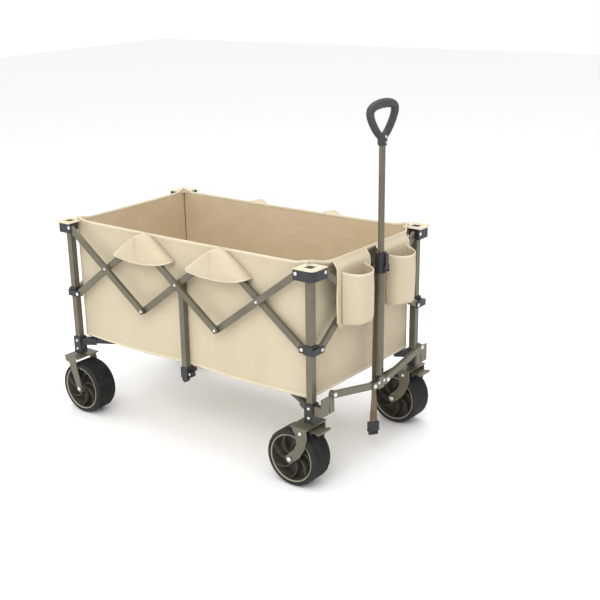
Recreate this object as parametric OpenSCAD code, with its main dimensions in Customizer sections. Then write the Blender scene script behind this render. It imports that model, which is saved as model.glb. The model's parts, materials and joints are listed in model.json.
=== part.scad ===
// Folding beach cart: four posts joined by scissor links, fabric basket, wide wheels,
// front casters with foot brakes, a hinged yoke and a telescoping pull handle.
// Millimetres. +X is the pulling end, +Y the cart's left side, +Z up, floor at z = 0.

/* [Frame] */
// Distance between rear and front posts when open
post_gap_x = 1000; // [840:10:1200]
// Distance between right and left posts when open
post_gap_y = 560; // [470:10:670]
// Side of the square post tubes
post_size = 21; // [17:0.5:25]
// Wall thickness of the post tubes
post_wall = 1.5; // [1:0.1:2.5]
// Height of the fixed top pivots above the floor
top_pivot_z = 661; // [600:1:800]
// Drop from the top pivots to the sliding pivots when open
pivot_drop = 234; // [190:1:280]
// Height of the underside of the basket
basket_bottom_z = 268; // [262:1:290]

/* [Links] */
// Width of the link tubes
link_w = 20; // [16:0.5:24]
// Thickness of the link tubes
link_t = 11.4; // [9:0.1:13.6]
// Wall thickness of the link tubes
link_wall = 1.2; // [0.8:0.1:2]
// Radius of the rivets
rivet_r = 3; // [2:0.1:4]
// Radius of the rivet heads
rivet_head_r = 5; // [4:0.1:6.5]

/* [Wheels] */
// Outer radius of the tyres
wheel_r = 90; // [75:1:108]
// Width of the tyres
tyre_w = 86; // [60:1:104]
// Radius of the rims
rim_r = 66; // [50:1:75]
// Radius of the axles
axle_r = 6; // [4:0.1:8]
// Distance of the rear axles in front of the rear posts
rear_axle_ahead = 31; // [10:1:40]
// Trail of the casters behind the front posts
caster_trail = 48; // [30:1:58]
// Number of spokes in a rim
spokes = 7; // [5:1:9]

/* [Pull handle] */
// Distance of the handle and yoke plane ahead of the front posts
handle_ahead = 51; // [50:1:62]
// Radius of the lower handle tube
lower_tube_r = 12.5; // [11:0.5:15]
// Radius of the sliding upper handle tube
upper_tube_r = 9.5; // [8:0.25:10.5]
// Height of the handle's foot hinge
handle_hinge_z = 288; // [287:1:300]
// Height of the top of the lower tube
lower_tube_top_z = 650; // [560:1:720]
// Height of the top of the grip
grip_top_z = 1111; // [1000:1:1250]
// Outer width of the grip
grip_w = 140; // [110:1:170]
// Height of the yoke's outer pivots
yoke_pivot_z = 292; // [290:1:305]
// Distance of the yoke's outer pivots inboard of the posts
yoke_pivot_in = 40; // [34:1:60]

/* [Basket] */
// Wall thickness of the fabric body
fabric_t = 3; // [1.5:0.1:4]
// Height of the basket's rim
rim_z = 684; // [680:1:760]
// Radius of the two cup pockets
pocket_r = 60; // [45:1:70]
// Height of the cup pockets
pocket_h = 160; // [120:1:180]

/* [Strap] */
// Width of the webbing strap
strap_w = 25; // [20:1:30]
// Thickness of the webbing strap
strap_t = 1.8; // [1.2:0.1:2.4]

/* [Fits] */
// Radial clearance of the turning fits
turn_gap = 0.05; // [0.02:0.01:0.1]
// Radial clearance at the pivots that only close a loop
loop_gap = 0.4; // [0.2:0.05:0.6]
// Side clearance of a slider on its post
slide_gap = 0.3; // [0.2:0.05:0.5]
// Clearance between a link and the cheeks beside it
cheek_gap = 0.3; // [0.2:0.05:0.5]

/* [Hidden] */
$fn = 64;

// colours
c_steel = [0.43, 0.41, 0.33];
c_plastic = [0.07, 0.07, 0.08];
c_fabric = [0.87, 0.80, 0.67];
c_tyre = [0.05, 0.05, 0.05];
c_web = [0.33, 0.25, 0.17];

// layers of the links, as distances outboard of a post's axis
pitch = link_t + 2 * cheek_gap;
layer = [2 * pitch, pitch, 0];
head_t = 1.4;
cover_in = layer[0] + link_t / 2 + head_t + 0.6;

// layout along X: the whole cart is centred between its rearmost and foremost points
pocket_ahead = cover_in + fabric_t;
rear_reach = wheel_r - rear_axle_ahead;
front_reach = pocket_ahead + pocket_r;
x_mid = (rear_reach - front_reach) / 2;
xr = x_mid - post_gap_x / 2;
xf = x_mid + post_gap_x / 2;
yp = post_gap_y / 2;

// collars, link layers and pivots, as distances from a post's axis
collar_out = post_size / 2 + 5;
inset = collar_out + link_w / 2 + 2.5;
cheek_t = 3;
ear_out = layer[0] + pitch / 2 + cheek_t;
ear_in = inset + link_w / 2 - 1;
head_gap = 0.15;

// the long sides: three crossed pairs
cell = (post_gap_x - 2 * inset) / 3;
link_len = sqrt(cell * cell + pivot_drop * pivot_drop);
half_len = link_len / 2;
open_angle = atan(pivot_drop / cell);
zt = top_pivot_z;
zs = top_pivot_z - pivot_drop;
zc = (zt + zs) / 2;
x_start = xr + inset;

// the short sides: two crossed pairs with unequal halves, at the same angle
y_start = yp - inset;
inner_len = y_start / cos(open_angle) - half_len;
y_cross = y_start - half_len * cos(open_angle);
z_high = zc + inner_len * sin(open_angle);
z_low = zc - inner_len * sin(open_angle);
short_len = half_len + inner_len;

// corner fittings
bracket_bottom = zt - 19;
bracket_top = zt + 13;
foot_bottom = 206;
foot_top = basket_bottom_z - 2;
slider_below = 10;
slider_above = 18;
diag = atan(post_gap_y / post_gap_x);
floor_pivot = 52;
floor_z = 248;
floor_arm_w = 14;
floor_arm_t = 14;
floor_arm_len = sqrt(post_gap_x * post_gap_x + post_gap_y * post_gap_y) / 2 - floor_pivot - 91;

// wheels and forks
fork_in = tyre_w / 2 + 2;
fork_t = 4;
fork_out = fork_in + fork_t;
plate_z = 197;
stem_r = 8;
pedal_x = -8;
pedal_z = 182;

// handle and yoke
xh = xf + handle_ahead;
hub_pin_y = 36;
yoke_drop = 42;
hub_z = yoke_pivot_z - yoke_drop;
arm_t = 12;
plate_t = 3;
yoke_y = yp - yoke_pivot_in;
yoke_angle = atan(yoke_drop / (yoke_y - hub_pin_y));
yoke_len = sqrt((yoke_y - hub_pin_y) * (yoke_y - hub_pin_y) + yoke_drop * yoke_drop);
neck_z = grip_top_z - 125;
pin_r = 4;

// basket
basket_y = yp - post_size / 2 - 6;
basket_xr = xr + post_size / 2 + 6;
basket_xf = xf - post_size / 2 - 6;

// strap
x_strap = xf + layer[0] + link_t / 2 + head_t + 0.9;
strap_top = lower_tube_top_z - 52;
strap_bottom = 106;

// ---- shared shapes ----

// a cylinder along Y or X, from one coordinate to another
module rod_y(r, y0, y1) {
  translate([0, max(y0, y1), 0]) rotate([90, 0, 0]) cylinder(r = r, h = abs(y1 - y0));
}

module rod_x(r, x0, x1) {
  translate([min(x0, x1), 0, 0]) rotate([0, 90, 0]) cylinder(r = r, h = abs(x1 - x0));
}

module box(x0, x1, y0, y1, z0, z1) {
  translate([min(x0, x1), min(y0, y1), min(z0, z1)])
    cube([abs(x1 - x0), abs(y1 - y0), abs(z1 - z0)]);
}

// a link tube lying along +X from its first pivot, with open rounded ends and pivot holes
// holes: [distance, radius]
module link_tube(len, holes) {
  difference() {
    intersection() {
      difference() {
        box(-link_w / 2, len + link_w / 2, -link_t / 2, link_t / 2, -link_w / 2, link_w / 2);
        box(-link_w, len + link_w, -link_t / 2 + link_wall, link_t / 2 - link_wall,
            -link_w / 2 + link_wall, link_w / 2 - link_wall);
      }
      union() {
        box(0, len, -link_t, link_t, -link_w, link_w);
        rod_y(link_w / 2 + 0.6, -link_t, link_t);
        translate([len, 0, 0]) rod_y(link_w / 2 + 0.6, -link_t, link_t);
      }
    }
    for (h = holes)
      translate([h[0], 0, 0]) rod_y(h[1], -link_t, link_t);
  }
}

// a rivet through this link and the next one inboard (towards +Y before any mirroring)
module link_rivet(at, extra = 0) {
  end = link_t / 2 + 2 * cheek_gap + link_t + head_gap + extra;
  translate([at, 0, 0]) {
    rod_y(rivet_r, -link_t / 2 - 0.2, end + 0.2);
    rod_y(rivet_head_r, -link_t / 2 - head_t, -link_t / 2);
    rod_y(rivet_head_r, end, end + head_t);
  }
}

// a link in a long side: first pivot, direction (+1 up, -1 down), layer number
module long_link(x, z, up, n, holes, rivets, reach = 0) {
  translate([x, -yp - layer[n], z]) rotate([0, -up * open_angle, 0]) {
    link_tube(link_len, holes);
    for (r = rivets)
      link_rivet(r, r == reach ? 9.4 : 0);
  }
}

// a link in a short side, drawn for the front: first pivot, directions, layer number
module short_link(y, z, left, up, n, len, holes, rivets) {
  translate([xf + layer[n], y, z]) rotate([0, 0, 90]) mirror([left < 0 ? 1 : 0, 0, 0])
    rotate([0, -up * open_angle, 0]) {
      link_tube(len, holes);
      for (r = rivets)
        link_rivet(r);
    }
}

tight = rivet_r + turn_gap;
loose = rivet_r + loop_gap;

// right side, links numbered from the rear; "a" links fall and "b" links rise towards the front
module side_link_1a() {
  long_link(x_start, zt, -1, 0, [[0, tight]], [half_len, link_len]);
}

module side_link_1b(end_gap) {
  long_link(x_start, zs, 1, 1, [[0, end_gap], [half_len, tight], [link_len, tight]], []);
}

module side_link_2a() {
  long_link(x_start + cell, zt, -1, 0, [], [0, half_len, link_len], half_len);
}

module side_link_2b() {
  long_link(x_start + cell, zs, 1, 1, [[0, tight], [half_len, loose]], [link_len]);
}

module side_link_3a(end_gap) {
  long_link(x_start + 2 * cell, zt, -1, 2,
            [[0, tight], [half_len, loose], [link_len, end_gap]], []);
}

module side_link_3b(end_gap) {
  long_link(x_start + 2 * cell, zs, 1, 1, [[0, tight], [link_len, end_gap]], [half_len]);
}

// front end, from the right post to the left post
module end_link_1a() {
  short_link(-y_start, zt, 1, -1, 0, short_len, [[0, tight]], [half_len, short_len]);
}

module end_link_1b() {
  short_link(-y_start, zs, 1, 1, 1, short_len, [[0, loose], [half_len, tight], [short_len, loose]], []);
}

module end_link_2a() {
  short_link(0, z_low, 1, 1, 1, short_len, [[0, tight], [inner_len, tight], [short_len, tight]], []);
}

module end_link_2b() {
  short_link(0, z_high, 1, -1, 0, short_len, [[short_len, tight]], [0, inner_len]);
}

module to_left() {
  mirror([0, 1, 0]) children();
}

module to_rear() {
  translate([xr + xf, 0, 0]) mirror([1, 0, 0]) children();
}

// the outline of a top bracket seen from above, outboard towards -X and -Y
module bracket_outline() {
  square([2 * collar_out, 2 * collar_out], center = true);
  translate([-collar_out, -ear_out]) square([collar_out + ear_in, ear_out - 3]);
  translate([-ear_out, -collar_out]) square([ear_out - 3, collar_out + ear_in]);
  translate([-ear_out + 23, -ear_out + 23]) circle(r = 23);
}

// top bracket and foot connector of one corner, with the post's axis at x = y = 0,
// drawn for the rear right corner
module corner_fitting(long_n, short_n, long_pin, short_pin) {
  s = pitch / 2;
  difference() {
    translate([0, 0, bracket_bottom]) linear_extrude(bracket_top - bracket_bottom) bracket_outline();
    // socket for the post
    box(-post_size / 2, post_size / 2, -post_size / 2, post_size / 2, bracket_bottom - 1, bracket_top + 1);
    // slots for the link ends
    box(collar_out + 0.5, ear_in + 1, -layer[long_n] - s, -layer[long_n] + s,
        bracket_bottom - 1, zt + link_w / 2 + 1.2);
    box(-layer[short_n] - s, -layer[short_n] + s, collar_out + 0.5, ear_in + 1,
        bracket_bottom - 1, zt + link_w / 2 + 1.2);
  }
  translate([inset, 0, zt]) rod_y(long_pin, -layer[long_n] - s - 1, -layer[long_n] + s + 1);
  translate([0, inset, zt]) rod_x(short_pin, -layer[short_n] - s - 1, -layer[short_n] + s + 1);
  foot_connector();
}

// connector at a post's foot: post socket above, stem bore below, ears for the floor arm
module foot_connector() {
  difference() {
    union() {
      box(-collar_out, collar_out, -collar_out, collar_out, foot_bottom, foot_top);
      rotate([0, 0, diag])
        box(10, floor_pivot + 10, -floor_arm_w / 2 - 3.8, floor_arm_w / 2 + 3.8, floor_z - 12, floor_z + 12);
    }
    box(-post_size / 2, post_size / 2, -post_size / 2, post_size / 2, floor_z - 8, foot_top + 1);
    translate([0, 0, foot_bottom - 1]) cylinder(r = stem_r + turn_gap, h = 30);
    rotate([0, 0, diag])
      box(floor_pivot - floor_arm_t / 2 - 4.5, floor_pivot + 11, -floor_arm_w / 2 - 0.3, floor_arm_w / 2 + 0.3,
          floor_z - 13, floor_z + 13);
  }
  rotate([0, 0, diag]) translate([floor_pivot, 0, floor_z])
    rod_y(rivet_r, -floor_arm_w / 2 - 1, floor_arm_w / 2 + 1);
}

// square post tube
module post_tube() {
  difference() {
    box(-post_size / 2, post_size / 2, -post_size / 2, post_size / 2, floor_z - 8, bracket_top);
    box(-post_size / 2 + post_wall, post_size / 2 - post_wall, -post_size / 2 + post_wall,
        post_size / 2 - post_wall, floor_z - 9, bracket_top + 1);
  }
}

// sliding collar with two slotted ears, drawn for the rear right corner
module slider(long_n, short_n, long_pin, short_pin) {
  g = post_size / 2 + slide_gap;
  s = pitch / 2;
  long_in = long_n == 2 ? -s - cheek_t : layer[long_n] - s - cheek_t;
  long_out = layer[long_n] + s + cheek_t;
  short_in = layer[short_n] - s - cheek_t;
  short_out = layer[short_n] + s + cheek_t;
  difference() {
    union() {
      box(-collar_out, collar_out, -collar_out, collar_out, zs - slider_below, zs + slider_above);
      box(0, ear_in, -long_out, -long_in, zs - slider_below, zs + slider_below);
      box(-short_out, -short_in, 0, ear_in, zs - slider_below, zs + slider_below);
      box(-collar_out, 0, -long_out, 0, zs - slider_below, zs + slider_below);
      box(-short_out, 0, -collar_out, 0, zs - slider_below, zs + slider_below);
    }
    box(-g, g, -g, g, zs - slider_below - 1, zs + slider_above + 1);
    box(collar_out + 0.5, ear_in + 1, -layer[long_n] - s, -layer[long_n] + s, zs - slider_below - 1,
        zs + slider_above + 1);
    box(-layer[short_n] - s, -layer[short_n] + s, collar_out + 0.5, ear_in + 1, zs - slider_below - 1,
        zs + slider_above + 1);
  }
  translate([inset, 0, zs]) rod_y(long_pin, -layer[long_n] - s - 1, -layer[long_n] + s + 1);
  translate([0, inset, zs]) rod_x(short_pin, -layer[short_n] - s - 1, -layer[short_n] + s + 1);
}

module at_rear_right() {
  translate([xr, -yp, 0]) children();
}

module at_front_right() {
  translate([xf, -yp, 0]) mirror([1, 0, 0]) children();
}

// steel bracket on a front post that carries the yoke arm's pivot
module yoke_bracket() {
  x0 = handle_ahead - arm_t / 2 - 0.3 - 4;
  translate([xf, -yp, 0]) {
    difference() {
      union() {
        box(x0, x0 + 4, -10, yoke_pivot_in + 12, 232, yoke_pivot_z - 4);
        box(x0, x0 + 4, yoke_pivot_in - 12, yoke_pivot_in + 12, 232, yoke_pivot_z);
        translate([0, yoke_pivot_in, yoke_pivot_z]) rod_x(12, x0, x0 + 4);
      }
      box(x0 - 1, x0 + 5, collar_out + 6, yoke_pivot_in - 12, 231, 262);
    }
    box(collar_out, x0, -10, -6, 232, 262);
    box(collar_out, x0, 6, 10, 232, 262);
    box(collar_out, collar_out + 3, -10, 10, 232, 262);
    translate([0, yoke_pivot_in, yoke_pivot_z]) {
      rod_x(rivet_r + 1, x0 + 3, x0 + 4 + arm_t + 0.6);
      rod_x(rivet_head_r + 1.5, x0 + 4 + arm_t + 0.6, x0 + 4 + arm_t + 0.6 + head_t);
    }
  }
}

// wheel: tyre and rim on one hub, axis along Y through the origin
module wheel() {
  w = tyre_w / 2;
  bore = axle_r + turn_gap;
  mid = (rim_r + 11) / 2;
  color(c_tyre) rotate([90, 0, 0]) rotate_extrude($fn = 128)
    polygon([[rim_r, -w + 3], [rim_r + 4, -w], [wheel_r - 9, -w], [wheel_r - 3, -w + 5], [wheel_r, -w + 14],
             [wheel_r, w - 14], [wheel_r - 3, w - 5], [wheel_r - 9, w], [rim_r + 4, w], [rim_r, w - 3]]);
  color(c_steel) rotate([90, 0, 0]) difference() {
    rotate_extrude($fn = 128)
      polygon([[bore, -w + 2], [17, -w + 2], [17, -8], [rim_r - 6, -8], [rim_r - 6, -w + 4],
               [rim_r - 0.05, -w + 4], [rim_r - 0.05, w - 4], [rim_r - 6, w - 4], [rim_r - 6, 8],
               [17, 8], [17, w - 2], [bore, w - 2]]);
    // openings between the spokes
    for (i = [0 : spokes - 1])
      rotate([0, 0, i * 360 / spokes]) translate([mid, 0, -10]) cylinder(r = 14, h = 20);
  }
}

// axle bolt with heads outside the two fork arms
module axle_bolt() {
  rod_y(axle_r, -fork_out, fork_out);
  rod_y(axle_r + 4, -fork_out - 2.4, -fork_out);
  rod_y(axle_r + 4, fork_out, fork_out + 2.4);
}

// a pair of fork arms cut to an outline in the XZ plane
module fork_pair(x_axle) {
  for (s = [-1, 1])
    translate([0, s > 0 ? fork_out : -fork_in, 0]) rotate([90, 0, 0]) linear_extrude(fork_t) {
      children();
      translate([x_axle, wheel_r]) circle(r = 14);
    }
}

module rear_fork() {
  fork_pair(rear_axle_ahead)
    polygon([[-30, plate_z + 4], [20, plate_z + 4], [22, plate_z - 16], [rear_axle_ahead + 13.6, wheel_r + 3],
             [rear_axle_ahead - 13.6, wheel_r + 3], [-12, plate_z - 18], [-30, plate_z - 14]]);
  box(-34, 34, -fork_out, fork_out, plate_z, plate_z + 4);
  cylinder_up(stem_r + 6, plate_z + 4, foot_bottom);
  cylinder_up(stem_r, plate_z + 4, foot_bottom + 26);
  translate([rear_axle_ahead, 0, wheel_r]) axle_bolt();
}

module cylinder_up(r, z0, z1) {
  translate([0, 0, z0]) cylinder(r = r, h = z1 - z0);
}

module caster_fork() {
  fork_pair(-caster_trail)
    polygon([[-34, plate_z + 4], [14, plate_z + 4], [16, plate_z - 30], [8, plate_z - 62],
             [-10, wheel_r + 14], [-caster_trail + 8, wheel_r - 11.5], [-caster_trail - 12, wheel_r + 7.2],
             [-32, wheel_r + 34], [-20, plate_z - 48], [-24, plate_z - 20], [-34, plate_z - 8]]);
  box(-44, 18, -fork_out, fork_out, plate_z, plate_z + 4);
  cylinder_up(stem_r + 6, plate_z + 4, foot_bottom - 0.3);
  cylinder_up(stem_r, plate_z + 4, foot_bottom + 26);
  translate([pedal_x, 0, pedal_z]) rod_y(rivet_r, -fork_in - 1, fork_in + 1);
  translate([-caster_trail, 0, wheel_r]) axle_bolt();
}

// foot brake: plate with a lip in front, turning on a pin between the fork arms
module brake_pedal() {
  translate([pedal_x, 0, pedal_z]) difference() {
    union() {
      rod_y(rivet_r + 3, -fork_in + 0.5, fork_in - 0.5);
      box(0, 52, -26, 26, 2, 5.5);
      box(46, 56, -30, 30, 1, 6.5);
      box(10, 18, -24, 24, -12, 3);
    }
    rod_y(rivet_r + turn_gap, -fork_in, fork_in);
  }
}

module mid_post() {
  w = 19;
  x = x_start + 1.5 * cell;
  translate([x, -yp + 4, 0]) {
    difference() {
      box(-w / 2, w / 2, -w / 2, w / 2, 246, zc + 12);
      box(-w / 2 + post_wall, w / 2 - post_wall, -w / 2 + post_wall, w / 2 - post_wall, 245, zc + 13);
      translate([0, 0, zc]) rod_y(tight, -w, w);
    }
    // foot bracket under the basket's edge
    difference() {
      box(-w / 2 - 3.5, w / 2 + 3.5, -w / 2 - 3, w / 2 + 3, 228, basket_bottom_z - 4);
      box(-w / 2, w / 2, -w / 2, w / 2, 245.99, basket_bottom_z);
    }
    translate([0, 0, 224]) rod_y(11, -w / 2 - 1, w / 2 - 5);
    box(0, 24, -5, 16, 232, 250);
    box(-9, 9, 6, 40, 240, 258);
  }
}

module yoke_arm() {
  translate([xh, -yoke_y, yoke_pivot_z]) rotate([-yoke_angle, 0, 0]) difference() {
    union() {
      difference() {
        box(-arm_t / 2, arm_t / 2, 0, yoke_len, -10, 10);
        box(-arm_t / 2 + 1.5, arm_t / 2 - 1.5, 13, yoke_len - 13, -8.5, 8.5);
        rod_x(pin_r, -20, 20);
      }
      rod_x(10, -arm_t / 2, arm_t / 2);
      translate([0, yoke_len, 0]) rod_x(10, -arm_t / 2, arm_t / 2);
    }
    rod_x(rivet_r + 1 + turn_gap, -20, 20);
    // drain slots let the tube's inside be seen and keep it open
    box(-2, 2, 30, yoke_len - 30, -12, 0);
    translate([0, yoke_len, 0]) rod_x(pin_r + turn_gap, -20, 20);
  }
}

module yoke_hub() {
  g = arm_t / 2 + 0.3;
  lift = handle_hinge_z - hub_z;
  translate([xh, 0, hub_z]) {
    for (s = [-1, 1])
      translate([s > 0 ? g : -g - plate_t, 0, 0]) rotate([90, 0, 90]) linear_extrude(plate_t) hub_outline();
    // spacer under the arm ends
    box(-g - 1, g + 1, -12, 12, -17, -11);
    // tongue that carries the handle's foot
    difference() {
      union() {
        box(-g - 1, g + 1, -3.5, 3.5, 15.5, 20);
        box(-g, g, -3.5, 3.5, 15.5, lift);
        translate([0, 0, lift]) rod_y(8, -3.5, 3.5);
      }
      translate([0, 0, lift]) rod_y(pin_r + turn_gap, -7, 7);
    }
    // pin of the right yoke arm, and the rivet heads of both
    translate([0, -hub_pin_y, 0]) rod_x(pin_r, -g - 1, g + 1);
    for (s = [-1, 1])
      translate([0, s * hub_pin_y, 0]) rod_x(rivet_head_r + 1, g + plate_t, g + plate_t + head_t);
  }
}

module hub_outline() {
  square([2 * hub_pin_y, 23], center = true);
  translate([-14, -17]) square([28, 38]);
  for (s = [-1, 1]) translate([s * hub_pin_y, 0]) circle(r = 11.5);
}

// handle, standing upright at rest
module handle_lower_tube() {
  z0 = handle_hinge_z;
  translate([xh, 0, 0]) {
    difference() {
      cylinder_up(lower_tube_r, z0 - 11, lower_tube_top_z);
      cylinder_up(upper_tube_r + turn_gap, z0 + 14, lower_tube_top_z + 1);
      box(-20, 20, -3.8, 3.8, z0 - 12, z0 + 10.5);
    }
    translate([0, 0, z0]) rod_y(pin_r, -lower_tube_r + 0.5, lower_tube_r - 0.5);
  }
}

module handle_upper_tube() {
  translate([xh, 0, 0]) difference() {
    cylinder_up(upper_tube_r, lower_tube_top_z - 62, neck_z + 14);
    cylinder_up(upper_tube_r - 1.4, lower_tube_top_z - 63, neck_z + 15);
  }
}

module handle_collar() {
  z1 = lower_tube_top_z + 14;
  z0 = z1 - 62;
  translate([xh, 0, 0]) {
    difference() {
      union() {
        cylinder_up(lower_tube_r + 4, z0, z1);
        box(0, lower_tube_r + 11, -11, 11, z0 + 4, z0 + 26);
      }
      cylinder_up(lower_tube_r, z0 - 1, lower_tube_top_z);
      cylinder_up(upper_tube_r + 0.15, lower_tube_top_z - 1, z1 + 1);
      box(lower_tube_r + 4.2, lower_tube_r + 12, -7.3, 7.3, z0 + 3, z0 + 27);
    }
    translate([lower_tube_r + 7.7, 0, z0 + 14]) rod_y(2, -8, 8);
  }
}

// locking lever, closed upwards against the collar
module collar_lever() {
  z0 = lower_tube_top_z + 14 - 62 + 14;
  translate([xh + lower_tube_r + 7.7, 0, z0]) difference() {
    union() {
      rod_y(4.5 - 1.2, -7, 7);
      box(-2.8, 2.8, -7, 7, 0, 42);
      translate([0, 0, 42]) rod_y(2.8, -7, 7);
    }
    rod_y(2 + turn_gap, -10, 10);
  }
}

// loop grip, seen from the front as a rounded frame
module handle_grip() {
  w = grip_w / 2;
  translate([xh, 0, 0]) difference() {
    union() {
      cylinder_up(upper_tube_r + 4, neck_z - 8, neck_z + 24);
      rotate([90, 0, 90]) linear_extrude(24, center = true) difference() {
        rounded_frame(w, neck_z + 12, grip_top_z, 36);
        rounded_frame(w - 17, neck_z + 29, grip_top_z - 17, 22);
      }
    }
    cylinder_up(upper_tube_r, neck_z - 9, neck_z + 14);
  }
}

// a rectangle with rounded corners: half width, bottom, top, corner radius
module rounded_frame(w, z0, z1, r) {
  translate([-w + r, z0]) square([2 * (w - r), z1 - z0]);
  translate([-w, z0 + r]) square([2 * w, z1 - z0 - 2 * r]);
  for (s = [-1, 1]) for (z = [z0 + r, z1 - r])
    translate([s * (w - r), z]) circle(r = r);
}

// floor arm, from its corner pivot towards the middle, drawn for the rear right corner
module floor_arm() {
  rotate([0, 0, diag]) translate([floor_pivot, 0, floor_z]) difference() {
    union() {
      box(0, floor_arm_len - 6, -floor_arm_w / 2, floor_arm_w / 2, -floor_arm_t / 2, floor_arm_t / 2);
      rod_y(floor_arm_t / 2, -floor_arm_w / 2, floor_arm_w / 2);
      translate([floor_arm_len - 6, 0, -floor_arm_t / 2]) cylinder(r = floor_arm_w / 2 - 0.5, h = floor_arm_t);
    }
    box(14, floor_arm_len + 5, -floor_arm_w / 2 + 1.5, floor_arm_w / 2 - 1.5,
        -floor_arm_t / 2 - 1, floor_arm_t / 2 - 1.5);
    rod_y(rivet_r + turn_gap, -20, 20);
  }
}

// a covering flap on a long side, seen from outside
module flap_outline() {
  lid = bracket_top + 0.4;
  intersection() {
    polygon([[-24, lid + fabric_t], [24, lid + fabric_t], [126, 606], [126, 590], [-126, 590], [-126, 606]]);
    translate([0, 850]) circle(r = 255, $fn = 96);
  }
}

module basket() {
  t = fabric_t;
  zb = basket_bottom_z;
  lid = bracket_top + 0.4;
  difference() {
    box(basket_xr, basket_xf, -basket_y, basket_y, zb, rim_z);
    box(basket_xr + t, basket_xf - t, -basket_y + t, basket_y - t, zb + t, rim_z + 1);
  }
  // corner patches over the brackets
  for (sx = [0, 1]) for (sy = [0, 1])
    translate([sx * (xr + xf), 0, 0]) mirror([sx, 0, 0]) mirror([0, sy, 0]) translate([xr, -yp, lid]) difference() {
      linear_extrude(t) {
        bracket_outline();
        square([2 * (yp - basket_y) + 1, 2 * (yp - basket_y) + 1], center = true);
      }
      box(-post_size / 2 - 2, post_size / 2 + 2, -post_size / 2 - 2, post_size / 2 + 2, -1, t + 1);
    }
  // flaps over the upper link joints of the long sides
  for (sy = [0, 1]) mirror([0, sy, 0]) for (k = [1, 2]) translate([x_start + k * cell, 0, 0]) {
    box(-24, 24, -yp - cover_in - t, -basket_y + 0.5, lid, lid + t);
    translate([0, -yp - cover_in, 0]) rotate([90, 0, 0]) linear_extrude(t) flap_outline();
  }
  // front covers with the cup pockets
  for (sy = [0, 1]) mirror([0, sy, 0]) {
    box(basket_xf - 0.5, xf + pocket_ahead, -190, -24, lid, lid + t);
    box(xf + pocket_ahead - t, xf + pocket_ahead, -190, -24, 640 - pocket_h - 20, lid + 1);
    translate([xf + pocket_ahead, -115, 640 - pocket_h]) difference() {
      cylinder(r = pocket_r, h = pocket_h, $fn = 96);
      translate([0, 0, t]) cylinder(r = pocket_r - t, h = pocket_h, $fn = 96);
      box(-100, 0, -100, 100, -1, pocket_h + 1);
    }
  }
}

// webbing strap hanging at the middle of the front end
module strap() {
  box(x_strap, x_strap + strap_t, -strap_w / 2, strap_w / 2, strap_bottom, strap_top);
}

// side-release buckle at the strap's end
module strap_buckle() {
  xm = x_strap + strap_t / 2;
  translate([xm, 0, 70]) {
    box(-5, 5, -17, 17, 0, 22);
    difference() {
      box(-5, 5, -19, 19, 22, 44);
      box(-strap_t / 2 - 0.3, strap_t / 2 + 0.3, -strap_w / 2 - 0.5, strap_w / 2 + 0.5, strap_bottom - 71, 45);
      box(-6, 6, -12.5, 12.5, 28, 34);
    }
  }
}

// ---- nodes ----

module post_rear_right() { color(c_steel) at_rear_right() post_tube(); }
module post_rear_left() { to_left() post_rear_right(); }
module post_front_right() {
  color(c_steel) {
    at_front_right() post_tube();
    yoke_bracket();
  }
}
module post_front_left() { to_left() post_front_right(); }

// each corner's layers: long side first, then short side
module fitting_rear_right() { color(c_plastic) at_rear_right() corner_fitting(0, 0, rivet_r, rivet_r); }
module fitting_rear_left() { color(c_plastic) to_left() at_rear_right() corner_fitting(0, 1, rivet_r, rivet_r); }
module fitting_front_right() { color(c_plastic) at_front_right() corner_fitting(1, 0, rivet_r, rivet_r); }
module fitting_front_left() { color(c_plastic) to_left() at_front_right() corner_fitting(1, 1, rivet_r, rivet_r); }

module slider_rear_right() { color(c_plastic) at_rear_right() slider(1, 1, rivet_r, rivet_r); }
module slider_rear_left() { color(c_plastic) to_left() at_rear_right() slider(1, 0, rivet_r, rivet_r); }
module slider_front_right() { color(c_plastic) at_front_right() slider(2, 1, rivet_r, rivet_r); }
module slider_front_left() { color(c_plastic) to_left() at_front_right() slider(2, 0, rivet_r, rivet_r); }

module right_link_1a() { color(c_steel) side_link_1a(); }
module right_link_1b() { color(c_steel) side_link_1b(tight); }
module right_link_2a() { color(c_steel) side_link_2a(); }
module right_link_2b() { color(c_steel) side_link_2b(); }
module right_link_3a() { color(c_steel) side_link_3a(tight); }
module right_link_3b() { color(c_steel) side_link_3b(tight); }
module left_link_1a() { color(c_steel) to_left() side_link_1a(); }
module left_link_1b() { color(c_steel) to_left() side_link_1b(loose); }
module left_link_2a() { color(c_steel) to_left() side_link_2a(); }
module left_link_2b() { color(c_steel) to_left() side_link_2b(); }
module left_link_3a() { color(c_steel) to_left() side_link_3a(loose); }
module left_link_3b() { color(c_steel) to_left() side_link_3b(loose); }

module front_link_1a() { color(c_steel) end_link_1a(); }
module front_link_1b() { color(c_steel) end_link_1b(); }
module front_link_2a() { color(c_steel) end_link_2a(); }
module front_link_2b() { color(c_steel) end_link_2b(); }
module rear_link_1a() { to_rear() front_link_1a(); }
module rear_link_1b() { to_rear() front_link_1b(); }
module rear_link_2a() { to_rear() front_link_2a(); }
module rear_link_2b() { to_rear() front_link_2b(); }

module mid_post_right() { color(c_steel) mid_post(); }
module mid_post_left() { to_left() mid_post_right(); }

module rear_fork_right() { color(c_steel) at_rear_right() rear_fork(); }
module rear_fork_left() { to_left() rear_fork_right(); }
module caster_fork_right() { color(c_steel) translate([xf, -yp, 0]) caster_fork(); }
module caster_fork_left() { to_left() caster_fork_right(); }
module brake_pedal_right() { color(c_steel) translate([xf, -yp, 0]) brake_pedal(); }
module brake_pedal_left() { to_left() brake_pedal_right(); }

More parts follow.
